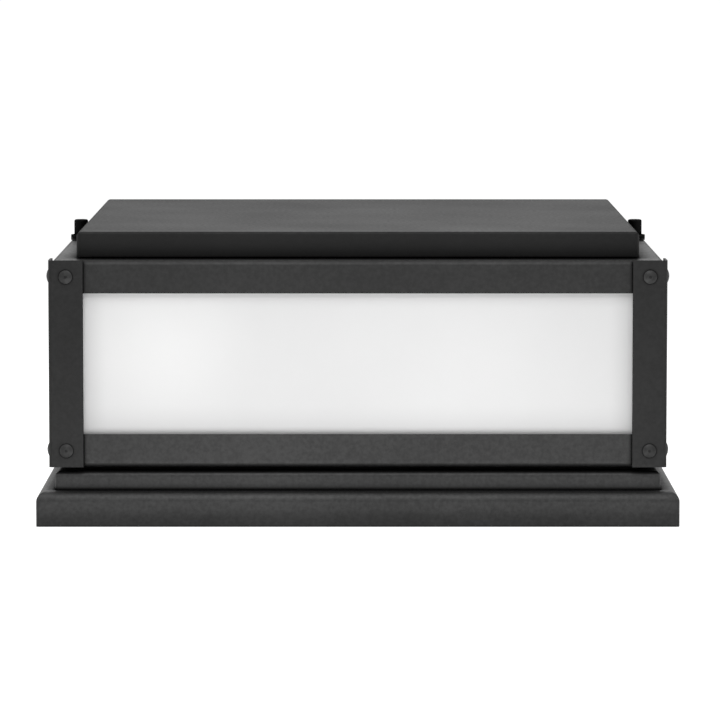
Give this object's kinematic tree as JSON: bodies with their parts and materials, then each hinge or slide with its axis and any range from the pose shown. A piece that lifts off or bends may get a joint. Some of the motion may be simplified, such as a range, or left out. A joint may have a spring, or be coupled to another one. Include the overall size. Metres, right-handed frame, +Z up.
{
  "type": "pier mount lantern",
  "caption": "Low square outdoor lantern for a masonry pier, folded black metal with opal panels, corner angles and a lift-off cap held by side thumb screws.",
  "frame": {"origin": "centre of the base's underside, on the pier's top", "axes": "+Z up, front towards -Y, thumb screws on the X axis"},
  "size_m": [0.408, 0.408, 0.1857],
  "materials": {
    "black_powder": "fine textured black powder coat",
    "opal_acrylic": "satin opal sheet",
    "black_rubber": "matt closed cell rubber",
    "zinc_steel": "bright zinc plate",
    "green_screw": "green dyed zinc",
    "brass": "plain turned brass",
    "white_porcelain": "white glaze",
    "lamp_opal": "opal globe",
    "lamp_plastic": "white moulded housing",
    "lamp_metal": "nickel bright"
  },
  "bodies": {
    "frame": {"base_pan": "black_powder", "plinth_pan": "black_powder", "bottom_tray": "black_powder", "top_tray": "black_powder", "corner_rivets": "black_powder", "corner_angle_front_left": "black_powder", "corner_angle_front_right": "black_powder", "corner_angle_rear_right": "black_powder", "corner_angle_rear_left": "black_powder", "diffuser_front": "opal_acrylic", "diffuser_rear": "opal_acrylic", "diffuser_left": "opal_acrylic", "diffuser_right": "opal_acrylic", "neck_spacer": "black_rubber", "glazing_gasket_lower": "black_rubber", "glazing_gasket_upper": "black_rubber", "setting_blocks": "black_rubber", "mounting_plate": "zinc_steel", "mounting_studs": "zinc_steel", "stud_washers": "zinc_steel", "stud_nuts": "zinc_steel", "panel_clips_lower": "zinc_steel", "panel_clips_upper": "zinc_steel", "screw_weld_nuts": "zinc_steel", "cluster_body": "zinc_steel", "cluster_cover": "zinc_steel", "socket_nuts": "zinc_steel", "ground_screw": "green_screw", "centre_nipple": "brass", "nipple_locknuts": "brass", "socket_shells": "brass", "socket_contacts": "brass", "lamp_sockets": "white_porcelain"},
    "cap": {"cap_pan": "black_powder", "cap_lugs": "black_powder"},
    "washer_left": {"thumb_washer_left": "black_powder"},
    "screw_left": {"thumb_screw_left": "black_powder"},
    "washer_right": {"thumb_washer_right": "black_powder"},
    "screw_right": {"thumb_screw_right": "black_powder"},
    "lamp_front_left": {"lamp_screw_cap_front_left": "lamp_metal", "lamp_housing_front_left": "lamp_plastic", "lamp_globe_front_left": "lamp_opal"},
    "lamp_front_right": {"lamp_screw_cap_front_right": "lamp_metal", "lamp_housing_front_right": "lamp_plastic", "lamp_globe_front_right": "lamp_opal"},
    "lamp_rear_right": {"lamp_screw_cap_rear_right": "lamp_metal", "lamp_housing_rear_right": "lamp_plastic", "lamp_globe_rear_right": "lamp_opal"},
    "lamp_rear_left": {"lamp_screw_cap_rear_left": "lamp_metal", "lamp_housing_rear_left": "lamp_plastic", "lamp_globe_rear_left": "lamp_opal"}
  },
  "joints": [
    {"name": "cap_lift", "type": "slide", "parent": "frame", "child": "cap", "axis": [0, 0, 1], "range_m": [0, 0.12]},
    {"name": "screw_left_rise", "type": "slide", "parent": "cap", "child": "washer_left", "axis": [0, 0, 1], "range_m": [0, 0.006]},
    {"name": "screw_left_turn", "type": "hinge", "parent": "washer_left", "child": "screw_left", "pos_m": [-0.1864, 0, 0.1775], "axis": [0, 0, 1], "range_deg": [0, 3090]},
    {"name": "screw_right_rise", "type": "slide", "parent": "cap", "child": "washer_right", "axis": [0, 0, 1], "range_m": [0, 0.006]},
    {"name": "screw_right_turn", "type": "hinge", "parent": "washer_right", "child": "screw_right", "pos_m": [0.1864, 0, 0.1775], "axis": [0, 0, 1], "range_deg": [0, 3090]},
    {"name": "lamp_front_left_turn", "type": "hinge", "parent": "frame", "child": "lamp_front_left", "pos_m": [-0.06364, -0.06364, 0.1028], "axis": [-0.7071, -0.7071, 0], "continuous": true},
    {"name": "lamp_front_right_turn", "type": "hinge", "parent": "frame", "child": "lamp_front_right", "pos_m": [0.06364, -0.06364, 0.1028], "axis": [0.7071, -0.7071, 0], "continuous": true},
    {"name": "lamp_rear_right_turn", "type": "hinge", "parent": "frame", "child": "lamp_rear_right", "pos_m": [0.06364, 0.06364, 0.1028], "axis": [0.7071, 0.7071, 0], "continuous": true},
    {"name": "lamp_rear_left_turn", "type": "hinge", "parent": "frame", "child": "lamp_rear_left", "pos_m": [-0.06364, 0.06364, 0.1028], "axis": [-0.7071, 0.7071, 0], "continuous": true}
  ],
  "couplings": [
    {"joint": "screw_left_turn", "follows": "screw_left_rise", "rad_per_m": 8976},
    {"joint": "screw_right_turn", "follows": "screw_right_rise", "rad_per_m": 8976}
  ]
}
